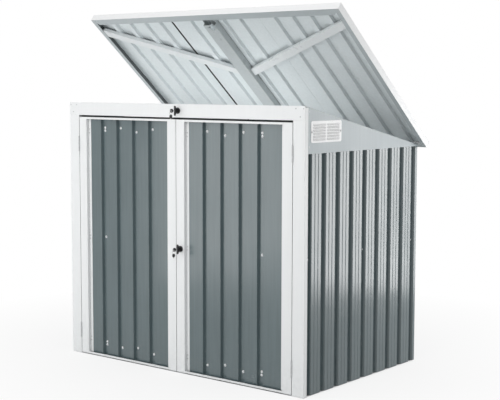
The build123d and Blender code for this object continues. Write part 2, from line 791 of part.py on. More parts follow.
# Centre beam: channel under the ribs, its side webs resting on the end trims' flanges
cam_along, cam_above = when_closed(FRONT + LID_CAM_DEPTH + CAM_STEEL / 2, LID_LOCK_HEIGHT)
beam_top = sheet_top - SHEET_FORM
beam_bottom = beam_top - BEAM_DEPTH
beam_front = cam_along + CAM_WIDTH
beam_half = BEAM_WIDTH / 2
with BuildPart() as lid_centre_beam:
    with BuildSketch(across_section.offset(sheet_inset)):
        bent(
            [
                (-beam_half, beam_top),
                (-beam_half, beam_bottom),
                (beam_half, beam_bottom),
                (beam_half, beam_top),
            ],
            FRAME_STEEL,
        )
    extrude(amount=sheet_length)
    with BuildSketch(lid_plane.offset(beam_bottom)):
        with Locations((0, lid_front)):
            Rectangle(BEAM_WIDTH, beam_front - lid_front, align=(Align.CENTER, Align.MIN))
        with Locations((0, lid_rear)):
            Rectangle(BEAM_WIDTH, lid_rear + BEAM_REAR_END, align=(Align.CENTER, Align.MAX))
    extrude(amount=rim_floor - beam_bottom, mode=Mode.SUBTRACT)
save(lid_centre_beam, "lid_centre_beam")

# Diagonal braces: channels under the ribs, from the side trims' flanges to the beam
brace_start = lid_point(lid_side - BRACE_SIDE_INSET, lid_front + BRACE_FRONT_INSET, 0)
brace_run = lid_point(0, lid_front + BRACE_BEAM_INSET, 0) - brace_start
brace_half = BRACE_WIDTH / 2
with BuildPart() as lid_braces:
    with BuildSketch(Plane(brace_start, x_dir=lid_plane.z_dir.cross(brace_run), z_dir=brace_run)):
        bent(
            [
                (-brace_half, beam_top),
                (-brace_half, rim_floor),
                (brace_half, rim_floor),
                (brace_half, beam_top),
            ],
            FRAME_STEEL,
        )
    extrude(amount=brace_run.length)
    split(bisect_by=side_plane(beam_half), keep=Keep.TOP)
    mirror(about=Plane.YZ)
save(lid_braces, "lid_braces")

# Keeper: hook under the beam's front end, which the lid lock's cam turns over when the lid is shut
keeper_inner = LID_CAM_REACH + KEEPER_CLEARANCE
keeper_outer = keeper_inner + KEEPER_STEEL
keeper_front = cam_along - KEEPER_LIP_DEPTH / 2
lip_top = cam_above - CAM_WIDTH / 2 - KEEPER_CLEARANCE
with BuildPart() as lid_lock_keeper:
    with BuildSketch(across_section.offset(lid_rear - keeper_front - KEEPER_LENGTH)):
        bent(
            [
                (keeper_outer - KEEPER_LIP, lip_top - KEEPER_STEEL),
                (keeper_outer, lip_top - KEEPER_STEEL),
                (keeper_outer, beam_bottom),
                (keeper_outer - KEEPER_LIP, beam_bottom),
            ],
            KEEPER_STEEL,
        )
    extrude(amount=KEEPER_LENGTH)
    with BuildSketch(lid_plane.offset(lip_top - KEEPER_STEEL)):
        with Locations((keeper_inner, keeper_front + KEEPER_LIP_DEPTH)):
            Rectangle(KEEPER_LIP, KEEPER_LENGTH, align=(Align.MAX, Align.MIN))
    extrude(amount=2 * KEEPER_STEEL, mode=Mode.SUBTRACT)
    with BuildSketch(lid_plane.offset(beam_bottom)):
        with Locations((keeper_inner, beam_front)):
            Rectangle(KEEPER_LIP, KEEPER_LENGTH, align=Align.MAX)
    extrude(amount=-2 * KEEPER_STEEL, mode=Mode.SUBTRACT)
save(lid_lock_keeper, "lid_lock_keeper")


# Locks
def save_lock(name, x, height, face, cam_depth, cam_reach, cam_up):
    """Barrel, knob, cam, key and spare key of a lock whose axis runs to the front from a face of the body."""
    axis = (x, height)
    rosette_front = face - ROSETTE_THICKNESS
    knob_back = rosette_front - FIT_GAP
    knob_front = knob_back - WING_DEPTH
    cam_front = face + cam_depth
    bow_place = knob_front - KEY_NECK - KEY_BOW_RADIUS
    hole_place = bow_place - KEY_BOW_RADIUS + KEY_HOLE_RADIUS + KEY_RIM

    with BuildPart() as barrel:
        with BuildSketch(front_plane(face)):
            with Locations(axis):
                Circle(ROSETTE_RADIUS)
        extrude(amount=ROSETTE_THICKNESS)
        with BuildSketch(front_plane(face)):
            with Locations(axis):
                Circle(BARREL_RADIUS)
                Rectangle(2 * BARREL_FLAT, 2 * BARREL_RADIUS, mode=Mode.INTERSECT)
        extrude(amount=FIT_GAP - cam_depth)
        with BuildSketch(front_plane(rosette_front)):
            with Locations(axis):
                Circle(SHAFT_RADIUS + SHAFT_PLAY)
        extrude(amount=-cam_depth - ROSETTE_THICKNESS, mode=Mode.SUBTRACT)
        with BuildSketch(front_plane(face + FRAME_STEEL)):
            with Locations((x, height + BARREL_RADIUS + CLIP_RIM)):
                Rectangle(CLIP_WIDTH, CLIP_HEIGHT, align=(Align.CENTER, Align.MAX))
            with Locations((x, height + BARREL_RADIUS + FIT_GAP)):
                Rectangle(
                    2 * BARREL_FLAT + FIT_GAP / 2, CLIP_HEIGHT, align=(Align.CENTER, Align.MAX),
                    mode=Mode.SUBTRACT,
                )
        extrude(amount=-CLIP_STEEL)
    save(barrel, f"{name}_barrel")

    wing_half = [
        (knob_back, WING_ROOT / 2),
        (knob_back - WING_DEPTH / 3, WING_ROOT / 2),
        (knob_back - WING_DEPTH * 2 / 3, WING_LENGTH / 2),
        (knob_front, WING_LENGTH / 2),
    ]
    wing = [(y, height + z) for y, z in wing_half] + [(y, height - z) for y, z in wing_half[::-1]]
    with BuildPart() as knob:
        with BuildSketch(side_plane(x - WING_THICKNESS / 2)):
            with BuildLine():
                Polyline(*wing, close=True)
            make_face()
        extrude(amount=WING_THICKNESS)
        with BuildSketch(front_plane(cam_front)):
            with Locations(axis):
                Circle(SHAFT_RADIUS)
        extrude(amount=cam_front - knob_back + BOSS_LENGTH)
        with BuildSketch(front_plane(cam_front)):
            with Locations(axis):
                Rectangle(SHAFT_SQUARE, SHAFT_SQUARE)
        extrude(amount=-CAM_STEEL)
    save(knob, f"{name}_knob")

    with BuildPart() as cam:
        with BuildSketch(front_plane(cam_front)) as outline:
            with Locations((x, height + cam_up * (cam_reach - CAM_WIDTH / 2) / 2)):
                Rectangle(CAM_WIDTH, cam_reach + CAM_WIDTH / 2)
            chamfer(outline.vertices(), length=CAM_CORNER)
            with Locations(axis):
                Rectangle(SHAFT_SQUARE + 2 * SHAFT_PLAY, SHAFT_SQUARE + 2 * SHAFT_PLAY, mode=Mode.SUBTRACT)
        extrude(amount=-CAM_STEEL)
    save(cam, f"{name}_cam")

    with BuildPart() as key:
        with BuildSketch(side_plane(x - KEY_STEEL / 2)):
            with Locations((knob_front, height)):
                Rectangle(KEY_NECK + KEY_BOW_RADIUS, KEY_NECK_WIDTH, align=(Align.MAX, Align.CENTER))
            with Locations((bow_place, height)):
                RegularPolygon(
                    KEY_BOW_RADIUS, KEY_BOW_SIDES, major_radius=False, rotation=180 / KEY_BOW_SIDES
                )
            with Locations((hole_place, height)):
                Circle(KEY_HOLE_RADIUS, mode=Mode.SUBTRACT)
        extrude(amount=KEY_STEEL)
    save(key, f"{name}_key")

    half_side = 180 / RING_SIDES
    ring_z = height - KEY_HOLE_RADIUS + RING_WIRE + RING_PLAY - RING_RADIUS
    spare_hole_z = ring_z - RING_RADIUS - SPARE_HOLE_RADIUS + RING_WIRE + RING_PLAY
    spare_bow_z = spare_hole_z - SPARE_BOW_RADIUS + SPARE_HOLE_RADIUS + SPARE_RIM
    with BuildPart() as spare_key:
        with BuildSketch(front_plane(hole_place + RING_WIRE)):
            with Locations((x, ring_z)):
                RegularPolygon(RING_RADIUS + RING_WIRE, RING_SIDES, major_radius=False, rotation=half_side)
                RegularPolygon(
                    RING_RADIUS - RING_WIRE, RING_SIDES, major_radius=False, rotation=half_side,
                    mode=Mode.SUBTRACT,
                )
        extrude(amount=2 * RING_WIRE)
        with BuildSketch(side_plane(x - KEY_STEEL / 2)):
            with Locations((hole_place, spare_bow_z)):
                RegularPolygon(
                    SPARE_BOW_RADIUS, KEY_BOW_SIDES, major_radius=False, rotation=180 / KEY_BOW_SIDES
                )
                Rectangle(
                    SPARE_BLADE_WIDTH, SPARE_BOW_RADIUS + SPARE_BLADE, align=(Align.CENTER, Align.MAX)
                )
            with Locations((hole_place, spare_hole_z)):
                Circle(SPARE_HOLE_RADIUS, mode=Mode.SUBTRACT)
        extrude(amount=KEY_STEEL)
    save(spare_key, f"{name}_spare_key")


save_lock("lid_lock", 0, LID_LOCK_HEIGHT, FRONT, LID_CAM_DEPTH, LID_CAM_REACH, 1)
save_lock("door_lock", DOOR_LOCK_X, DOOR_LOCK_HEIGHT, DOOR_FACE, STILE_EDGE + FIT_GAP, DOOR_CAM_REACH, -1)

# Slide bolt inside the left meeting stile, shown drawn back from the header
bolt_tip = DOOR_TOP - BOLT_SETBACK
with BuildPart() as left_door_bolt_guide:
    with BuildSketch(Plane.XY.offset(DOOR_TOP - BOLT_GUIDE_DROP)):
        with Locations((BOLT_X, BOLT_Y)):
            Rectangle(BOLT_GUIDE_WIDTH, BOLT_GUIDE_DEPTH)
            Rectangle(BOLT_WIDTH + 2 * BOLT_PLAY, BOLT_THICKNESS + 2 * BOLT_PLAY, mode=Mode.SUBTRACT)
    extrude(amount=-BOLT_GUIDE_HEIGHT)
save(left_door_bolt_guide, "left_door_bolt_guide")

with BuildPart() as left_door_bolt:
    with BuildSketch(Plane.XY.offset(bolt_tip)):
        with Locations((BOLT_X, BOLT_Y)):
            Rectangle(BOLT_WIDTH, BOLT_THICKNESS)
    extrude(amount=-BOLT_LENGTH)
    with BuildSketch(front_plane(BOLT_Y)):
        with Locations((BOLT_X, bolt_tip - BOLT_LENGTH + BOLT_TAB_PLACE)):
            Rectangle(BOLT_WIDTH, BOLT_TAB_HEIGHT)
    extrude(amount=-BOLT_TAB_REACH)
save(left_door_bolt, "left_door_bolt")
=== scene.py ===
import json
from math import cos, pi, radians, sin

import bmesh
import bpy
from mathutils import Matrix, Vector


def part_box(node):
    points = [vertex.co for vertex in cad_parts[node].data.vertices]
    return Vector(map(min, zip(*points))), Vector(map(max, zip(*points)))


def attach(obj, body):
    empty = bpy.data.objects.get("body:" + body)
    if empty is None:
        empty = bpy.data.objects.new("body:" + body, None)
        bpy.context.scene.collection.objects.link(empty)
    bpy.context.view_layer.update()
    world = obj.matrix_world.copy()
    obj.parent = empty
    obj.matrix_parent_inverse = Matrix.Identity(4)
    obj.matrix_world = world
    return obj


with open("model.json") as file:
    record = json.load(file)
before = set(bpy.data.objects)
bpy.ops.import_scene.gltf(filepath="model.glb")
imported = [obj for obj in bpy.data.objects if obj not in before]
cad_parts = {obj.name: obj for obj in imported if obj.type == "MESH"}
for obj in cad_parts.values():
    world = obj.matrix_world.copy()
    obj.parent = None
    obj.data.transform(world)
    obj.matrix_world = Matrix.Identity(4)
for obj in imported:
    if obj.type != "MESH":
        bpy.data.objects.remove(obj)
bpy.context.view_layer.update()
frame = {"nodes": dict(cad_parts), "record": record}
nodes = frame["nodes"]

# Sizes repeated from the CAD model, in metres
MM = 0.001
PANEL_STEEL = 0.6 * MM
FRAME_STEEL = 1.2 * MM
WALL_PITCH = 110 * MM
VALLEY_DEPTH = 14 * MM
DOOR_VALLEY_SHIFT = -10 * MM
LID_TILT = radians(39.36)
LID_UP = Vector((0.0, sin(LID_TILT), cos(LID_TILT)))
LID_BACK = Vector((0.0, cos(LID_TILT), -sin(LID_TILT)))
joint_place = {joint["name"]: Vector(joint["pos_m"]) for joint in frame["record"]["behaviour"]["joints"]
               if "pos_m" in joint}

# Shader nodes that the materials and the stage share
WHITE = (1.0, 1.0, 1.0)
NOISE_ROUGHNESS = 0.55
NOISE_MIDDLE = (0.3, 0.7)
BUMP_DETAIL = 2.0


def emptied(owner, output_kind):
    """Node tree of a material or a world with only an output left in it, and the surface of that output."""
    owner.use_nodes = True
    tree = owner.node_tree
    tree.nodes.clear()
    output = tree.nodes.new(output_kind)
    return tree, output.inputs["Surface"]


def feed(tree, socket, value):
    """Give a socket the output of another, a colour of three numbers or a plain value."""
    if isinstance(value, bpy.types.NodeSocket):
        tree.links.new(value, socket)
    elif isinstance(value, tuple):
        socket.default_value = (*value, 1.0)
    else:
        socket.default_value = value


def geometry(tree, what):
    """Position or normal of the shaded point."""
    return tree.nodes.new("ShaderNodeNewGeometry").outputs[what]


def coordinate(tree, vector, axis):
    """One coordinate of a vector."""
    node = tree.nodes.new("ShaderNodeSeparateXYZ")
    tree.links.new(vector, node.inputs["Vector"])
    return node.outputs[axis]


def noise(tree, coordinates, scale, detail):
    """Noise texture on the given coordinates."""
    node = tree.nodes.new("ShaderNodeTexNoise")
    node.inputs["Scale"].default_value = scale
    node.inputs["Detail"].default_value = detail
    node.inputs["Roughness"].default_value = NOISE_ROUGHNESS
    tree.links.new(coordinates, node.inputs["Vector"])
    return node.outputs["Fac"]


def stretch(tree, value, low, high, to_low, to_high):
    """Map a value from one range to another, clamped."""
    node = tree.nodes.new("ShaderNodeMapRange")
    node.inputs["From Min"].default_value = low
    node.inputs["From Max"].default_value = high
    node.inputs["To Min"].default_value = to_low
    node.inputs["To Max"].default_value = to_high
    tree.links.new(value, node.inputs["Value"])
    return node.outputs["Result"]


def combine(tree, operation, first, second):
    """Maths node on two sockets or numbers."""
    node = tree.nodes.new("ShaderNodeMath")
    node.operation = operation
    feed(tree, node.inputs[0], first)
    feed(tree, node.inputs[1], second)
    return node.outputs["Value"]


def dot(tree, first, second):
    """Dot product of two directions, each a socket or a vector."""
    node = tree.nodes.new("ShaderNodeVectorMath")
    node.operation = "DOT_PRODUCT"
    feed(tree, node.inputs[0], first)
    feed(tree, node.inputs[1], second)
    return node.outputs["Value"]


def mixed(tree, factor, first, second):
    """Mix two colours by a factor; a colour is a socket or three numbers."""
    node = tree.nodes.new("ShaderNodeMix")
    node.data_type = "RGBA"
    tree.links.new(factor, node.inputs["Factor"])
    colours = [socket for socket in node.inputs if socket.type == "RGBA"]
    for socket, value in zip(colours, (first, second)):
        feed(tree, socket, value)
    return [socket for socket in node.outputs if socket.type == "RGBA"][0]


def surfaced(tree, factor, first, second, surface):
    """Mix two shaders by a factor and put them on a surface."""
    mix = tree.nodes.new("ShaderNodeMixShader")
    tree.links.new(factor, mix.inputs["Fac"])
    tree.links.new(first, mix.inputs[1])
    tree.links.new(second, mix.inputs[2])
    tree.links.new(mix.outputs["Shader"], surface)


def new_material(name):
    """Node material with its tree emptied apart from a shader and an output."""
    material = bpy.data.materials.new(name)
    tree, surface = emptied(material, "ShaderNodeOutputMaterial")
    shader = tree.nodes.new("ShaderNodeBsdfPrincipled")
    tree.links.new(shader.outputs["BSDF"], surface)
    return material, tree, shader


def bumped(tree, shader, place, scale, strength, depth, normal=None):
    """Put a fine bump on a shader, over another normal where one is given."""
    bump = tree.nodes.new("ShaderNodeBump")
    bump.inputs["Strength"].default_value = strength
    bump.inputs["Distance"].default_value = depth
    tree.links.new(noise(tree, place, scale, BUMP_DETAIL), bump.inputs["Height"])
    if normal is not None:
        tree.links.new(normal, bump.inputs["Normal"])
    tree.links.new(bump.outputs["Normal"], shader.inputs["Normal"])


# Streaks along a sheet's height and clouds: noise scales per metre, and the clouds' share of the streaks
STREAK_SQUEEZE = (1.0, 1.0, 0.04)
STREAK_SCALE = 90.0
STREAK_DETAIL = 2.0
CLOUD_SCALE = 5.0
CLOUD_DETAIL = 4.0
CLOUDS = 0.4

# Faces of a lid trim that look down, and across to the middle of the lid, which get painted shade
FACE_DOWN = (-0.95, -0.90)
FACE_INWARD = (-0.7, -0.6)

# Dust: the height where it ends, its specks, its colour from the coat's and the roughness that it adds
DUST_TOP = 0.22
SPECK_SCALE = 55.0
SPECK_DETAIL = 5.0
SPECK_RANGE = (0.35, 0.75)
DIRT_SHARE = 0.55
DIRT_LIFT = 0.10
DUST_ROUGHER = 0.35

# Creases: painted shade where ambient occlusion finds the surface closed in; the openness where the painted
# shade is full, where it ends, and how much of it there is
CREASES = (0.12, 0.42, 0.9)
FAINT_CREASES = (0.12, 0.42, 0.25)
SLOT_CREASES = (0.50, 0.92, 0.95)
DEEP_CREASES = (0.20, 0.52, 0.9)
CREASE_REACH = 22 * MM
CREASE_SHADE_SHARE = 0.12
EDGE_SAMPLES = 4

# Rubbed edges: their rounding, the turn of the normal that marks them, and the patches that are rubbed
EDGE_RADIUS = 1.2 * MM
EDGE_TURN = (0.80, 0.99)
RUB_SCALE = 30.0
RUB_DETAIL = 4.0
RUB_RANGE = (0.50, 0.66)
RUB_MOST = 0.7
STEEL_SHOWING = (0.50, 0.51, 0.52)

# Gloss of the coat under its clouds, and its orange peel
COAT_SMOOTHER = 0.05
COAT_ROUGHER = 0.07
PEEL_SCALE = 420.0
PEEL_STRENGTH = 0.02
PEEL_DEPTH = 0.4 * MM


def streaked(tree, place, cloud, colour, streak):
    """Colour with faint long streaks from the rolling of the sheet, and clouds."""
    squeeze = tree.nodes.new("ShaderNodeVectorMath")
    squeeze.operation = "MULTIPLY"
    squeeze.inputs[1].default_value = STREAK_SQUEEZE
    tree.links.new(place, squeeze.inputs[0])
    rolled = noise(tree, squeeze.outputs["Vector"], STREAK_SCALE, STREAK_DETAIL)
    lines = stretch(tree, rolled, *NOISE_MIDDLE, -streak, streak)
    clouds = stretch(tree, cloud, *NOISE_MIDDLE, -CLOUDS * streak, CLOUDS * streak)
    shade = combine(tree, "ADD", lines, clouds)
    bright = tree.nodes.new("ShaderNodeHueSaturation")
    feed(tree, bright.inputs["Color"], colour)
    tree.links.new(combine(tree, "ADD", shade, 1.0), bright.inputs["Value"])
    return bright.outputs["Color"]


def lid_trim_shading(tree, colour, down_shade_colour, inside):
    """Colour of a lid trim, with a painted shade colour on faces that look down and a darker painted shade
    colour on those that look inward.
    """
    own = tree.nodes.new("ShaderNodeTexCoord").outputs
    down_shade_mask = stretch(tree, dot(tree, own["Normal"], LID_UP), *FACE_DOWN, 1.0, 0.0)
    sides = [coordinate(tree, own[what], "X") for what in ("Normal", "Object")]
    inward = stretch(tree, combine(tree, "MULTIPLY", *sides), *FACE_INWARD, 1.0, 0.0)
    return mixed(tree, inward, mixed(tree, down_shade_mask, colour, down_shade_colour), inside)


def dusting(tree, place, dust):
    """Share of dust, which thickens near the ground, broken up by a fine noise."""
    height = stretch(tree, coordinate(tree, place, "Z"), 0.0, DUST_TOP, 1.0, 0.0)
    speck = stretch(tree, noise(tree, place, SPECK_SCALE, SPECK_DETAIL), *SPECK_RANGE, 0.0, 1.0)
    return combine(tree, "MULTIPLY", combine(tree, "MULTIPLY", height, speck), dust)


def crease_shade(tree, creases):
    """Share of painted shade where two sheets meet, in creases, gaps and slots."""
    crease = tree.nodes.new("ShaderNodeAmbientOcclusion")
    crease.samples = EDGE_SAMPLES
    crease.inputs["Distance"].default_value = CREASE_REACH
    return stretch(tree, crease.outputs["AO"], *creases, 0.0)


def rubbing(tree, place, rounded):
    """Share of bare steel: where a rounded normal leaves the true one, broken up by noise."""
    edge = stretch(tree, dot(tree, rounded, geometry(tree, "Normal")), *EDGE_TURN, 1.0, 0.0)
    patch = stretch(tree, noise(tree, place, RUB_SCALE, RUB_DETAIL), *RUB_RANGE, 0.0, RUB_MOST)
    return combine(tree, "MULTIPLY", edge, patch)


def coated_steel(name, colour, roughness=0.36, dust=0.25, streak=0.03, gloss=0.5, creases=CREASES, down_shade_colour=None,
                 inside=None):
    """Coated sheet steel: orange peel, streaks, dust towards the ground, painted shade in creases and rubbed
    edges.
    """
    material, tree, shader = new_material(name)
    place = geometry(tree, "Position")
    cloud = noise(tree, place, CLOUD_SCALE, CLOUD_DETAIL)
    plain = lid_trim_shading(tree, colour, down_shade_colour, inside) if down_shade_colour else colour
    coat = streaked(tree, place, cloud, plain, streak)
    dusty = dusting(tree, place, dust)
    dusted = mixed(tree, dusty, coat, tuple(DIRT_SHARE * part + DIRT_LIFT for part in colour))
    # painted shade: the colour darkens in creases and gaps where ambient occlusion is low
    crease_shaded = mixed(tree, crease_shade(tree, creases), dusted, tuple(CREASE_SHADE_SHARE * part for part in colour))
    bevel = tree.nodes.new("ShaderNodeBevel")
    bevel.samples = EDGE_SAMPLES
    bevel.inputs["Radius"].default_value = EDGE_RADIUS
    rounded = bevel.outputs["Normal"]
    rubbed = mixed(tree, rubbing(tree, place, rounded), crease_shaded, STEEL_SHOWING)
    tree.links.new(rubbed, shader.inputs["Base Color"])
    smooth = stretch(tree, cloud, *NOISE_MIDDLE, roughness - COAT_SMOOTHER, roughness + COAT_ROUGHER)
    rough = combine(tree, "ADD", smooth, combine(tree, "MULTIPLY", dusty, DUST_ROUGHER))
    tree.links.new(rough, shader.inputs["Roughness"])
    shader.inputs["Specular IOR Level"].default_value = gloss
    bumped(tree, shader, place, PEEL_SCALE, PEEL_STRENGTH, PEEL_DEPTH, rounded)
    return material


# Bare metal: its dull blotches and its grain
BLOTCH_SCALE = 160.0
BLOTCH_DETAIL = 4.0
BLOTCH_RANGE = (0.4, 0.75)
DULL_SHARE = 0.55
DULL_MOST = 0.6
METAL_SMOOTHER = 0.08
METAL_ROUGHER = 0.12
GRAIN_SCALE = 1500.0
GRAIN_DEPTH = 0.2 * MM


def bare_metal(name, colour, roughness, grain):
    """Plated or cut metal with fine grain and dull patches."""
    material, tree, shader = new_material(name)
    place = geometry(tree, "Position")
    blotch = noise(tree, place, BLOTCH_SCALE, BLOTCH_DETAIL)
    dulled = stretch(tree, blotch, *BLOTCH_RANGE, 0.0, DULL_MOST)
    dull = tuple(DULL_SHARE * part for part in colour)
    tree.links.new(mixed(tree, dulled, colour, dull), shader.inputs["Base Color"])
    rough = stretch(tree, blotch, *NOISE_MIDDLE, roughness - METAL_SMOOTHER, roughness + METAL_ROUGHER)
    tree.links.new(rough, shader.inputs["Roughness"])
    shader.inputs["Metallic"].default_value = 1.0
    bumped(tree, shader, place, GRAIN_SCALE, grain, GRAIN_DEPTH)
    return material


# Lacquer: where hands rub it, and its bumps
HANDLED_SCALE = 220.0
HANDLED_DETAIL = 5.0
HANDLED_RANGE = (0.5, 0.8)
HANDLED_ROUGHER = 0.2
LACQUER_SCALE = 900.0
LACQUER_STRENGTH = 0.12
LACQUER_DEPTH = 0.3 * MM


def lacquer(name, colour, handled_colour, roughness):
    """Lacquer on a small piece, of another colour where hands rub it."""
    material, tree, shader = new_material(name)
    place = geometry(tree, "Position")
    handled = stretch(tree, noise(tree, place, HANDLED_SCALE, HANDLED_DETAIL), *HANDLED_RANGE, 0.0, 1.0)
    tree.links.new(mixed(tree, handled, colour, handled_colour), shader.inputs["Base Color"])
    rough = stretch(tree, handled, 0.0, 1.0, roughness, roughness + HANDLED_ROUGHER)
    tree.links.new(rough, shader.inputs["Roughness"])
    bumped(tree, shader, place, LACQUER_SCALE, LACQUER_STRENGTH, LACQUER_DEPTH)
    return material


# Finish of each slot, and of the nodes that have one of their own
SHARP_ANGLE = radians(35)
SMOOTH_SLOTS = ("lock_black", "zinc")
looks = {
    "frame_white": coated_steel("white_coat", (0.80, 0.815, 0.82), roughness=0.38, streak=0.008),
    "wall_grey": coated_steel("grey_coat", (0.092, 0.128, 0.137), roughness=0.18, streak=0.06, gloss=0.8,
                              creases=DEEP_CREASES),
    "gable_pale": coated_steel("gable_coat", (0.355, 0.405, 0.425), roughness=0.34),
    "inner_frame": coated_steel("inner_coat", (0.50, 0.53, 0.54), roughness=0.40),
    "lid_pale": coated_steel("lid_coat", (0.68, 0.735, 0.75), roughness=0.33, dust=0.0),
    # the lid trim's faces that look down and inward are painted in shade colours
    "lid_trim": coated_steel("trim_coat", (0.92, 0.93, 0.935), streak=0.01, dust=0.0,
                             down_shade_colour=(0.44, 0.485, 0.50), inside=(0.15, 0.165, 0.17)),
    "zinc": bare_metal("zinc_plate", (0.62, 0.63, 0.64), roughness=0.38, grain=0.15),
    "lock_black": lacquer("lock_lacquer", (0.012, 0.012, 0.013), (0.045, 0.045, 0.047), roughness=0.30),
    "key_steel": bare_metal("key_metal", (0.50, 0.50, 0.49), roughness=0.28, grain=0.10),
}
screw_white = lacquer("screw_lacquer", (0.92, 0.925, 0.93), (0.82, 0.83, 0.83), roughness=0.30)
own_looks = {
    "lid_braces": coated_steel("brace_coat", (0.72, 0.755, 0.765), roughness=0.30, streak=0.02, dust=0.0,
                               creases=FAINT_CREASES),
    "lid_lock_keeper": bare_metal("galvanised", (0.86, 0.89, 0.90), roughness=0.36, grain=0.05),
    "lid_centre_beam": coated_steel("beam_coat", (0.47, 0.51, 0.52), roughness=0.30, dust=0.0),
    "gable_vents": coated_steel("vent_coat", (0.93, 0.935, 0.94), streak=0.01, dust=0.0,
                                creases=SLOT_CREASES),
}
slot_of = {row["node"]: row["material_slot"] for row in frame["record"]["subparts"]}
for name, thing in nodes.items():
    thing.data.materials.clear()
    thing.data.materials.append(own_looks.get(name, looks[slot_of[name]]))
    if slot_of[name] in SMOOTH_SLOTS:
        thing.data.shade_smooth()
        thing.data.set_sharp_from_angle(angle=SHARP_ANGLE)


# Pieces made here
def new_piece(name, form, body, slot, finish=None):
    """Mesh object from a bmesh, in its own or the slot's finish, riding on a body."""
    mesh = bpy.data.meshes.new(name)
    form.to_mesh(mesh)
    form.free()
    mesh.materials.append(finish or looks[slot])
    mesh.shade_smooth()
    mesh.set_sharp_from_angle(angle=SHARP_ANGLE)
    piece = bpy.data.objects.new(name, mesh)
    bpy.context.scene.collection.objects.link(piece)
    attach(piece, body)


def loop(form, points):
    """Vertices and edges of a closed line through points."""
    verts = [form.verts.new(point) for point in points]
    edges = [form.edges.new((vert, after)) for vert, after in zip(verts, verts[1:] + verts[:1])]
    return verts, edges


def wall(form, low, high):
    """Faces between two loops of as many vertices."""
    for index in range(len(low)):
        after = (index + 1) % len(low)
        form.faces.new((low[index], low[after], high[after], high[index]))


# Screws, in millimetres: bonded washer, domed head and cross recess
SCREW_PROFILE = ((5.6, -0.1), (5.6, 0.9), (5.1, 1.3), (4.2, 1.4), (4.1, 2.3), (3.4, 3.1), (2.4, 3.5))
SCREW_SIDES = 14
CROSS_ARM = 1.7
CROSS_HALF = 0.5
CROSS_DEPTH = 1.2
SPIN = radians(137.5)
SMALL = 0.62
WASHERED = 1.15


def screw_mesh():
    """One screw along +Z, in millimetres."""
    form = bmesh.new()
    turns = [2 * pi * side / SCREW_SIDES for side in range(SCREW_SIDES)]
    rings = [loop(form, [(radius * cos(turn), radius * sin(turn), height) for turn in turns])
             for radius, height in SCREW_PROFILE]
    for (low, _), (high, _) in zip(rings, rings[1:]):
        wall(form, low, high)
    form.faces.new(rings[0][0][::-1])
    arm = [(CROSS_ARM, -CROSS_HALF), (CROSS_ARM, CROSS_HALF), (CROSS_HALF, CROSS_HALF)]
    cross = arm + [(-y, x) for x, y in arm] + [(-x, -y) for x, y in arm] + [(y, -x) for x, y in arm]
    top = SCREW_PROFILE[-1][1]
    mouth, mouth_edges = loop(form, [(x, y, top) for x, y in cross])
    pit, _ = loop(form, [(x, y, top - CROSS_DEPTH) for x, y in cross])
    bmesh.ops.triangle_fill(form, edges=rings[-1][1] + mouth_edges, use_beauty=True)
    wall(form, pit, mouth)
    form.faces.new(pit)
    bmesh.ops.recalc_face_normals(form, faces=form.faces)
    mesh = bpy.data.meshes.new("screw_pattern")
    form.to_mesh(mesh)
    form.free()
    return mesh


def screws(name, body, slot, outward, places, size):
    """A group of screws whose heads look outward, each turned a little further than the last."""
    form = bmesh.new()
    facing = Vector(outward).to_track_quat("Z", "Y").to_matrix().to_4x4()
    for index, place in enumerate(places):
        known = len(form.verts)
        form.from_mesh(screw_pattern)
        form.verts.ensure_lookup_table()
        turned = facing @ Matrix.Rotation(index * SPIN, 4, "Z") @ Matrix.Scale(size * MM, 4)
        bmesh.ops.transform(form, matrix=Matrix.Translation(place) @ turned, verts=form.verts[known:])
    new_piece(name, form, body, slot, screw_white if slot == "frame_white" else None)


screw_pattern = screw_mesh()

# Door screws: staggered rows through the sheets' valleys into the rails, pairs in the stiles' flanges
DOOR_ROW_TOP = (1178, 1178, 1160, 1176)
DOOR_ROW_FOOT = (76, 59, 73, 57)
DOOR_PAIR = 15.5
DOOR_MID_SCREW = 620
MIDDLE_VALLEY = (len(DOOR_ROW_TOP) - 1) / 2
STILE_HEIGHTS = (1168, 1150, 622, 606, 92, 74)
STILE_FLANGE_INSET = 7 * MM
for hand, side in (("left", 1), ("right", -1)):
    low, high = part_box(f"{hand}_door_sheet")
    floor_y = high.y - PANEL_STEEL
    middle = (low.x + high.x) / 2 + DOOR_VALLEY_SHIFT
    valleys = [middle + side * (step - MIDDLE_VALLEY) * WALL_PITCH for step in range(len(DOOR_ROW_TOP))]
    places = []
    for x, top, foot in zip(valleys, DOOR_ROW_TOP, DOOR_ROW_FOOT):
        places += [Vector((x, floor_y, height * MM)) for height in (top, foot)]
    for height in (DOOR_ROW_TOP[0] - DOOR_PAIR, DOOR_ROW_FOOT[0] - DOOR_PAIR, DOOR_MID_SCREW):
        places.append(Vector((valleys[0], floor_y, height * MM)))
    screws(f"{hand}_door_screws", f"{hand}_door", "frame_white", (0, -1, 0), places, WASHERED)
    flanges = [Vector((x, low.y - FRAME_STEEL, height * MM))
               for x in (low.x + STILE_FLANGE_INSET, high.x - STILE_FLANGE_INSET) for height in STILE_HEIGHTS]
    screws(f"{hand}_door_stile_screws", f"{hand}_door", "zinc", (0, -1, 0), flanges, SMALL)

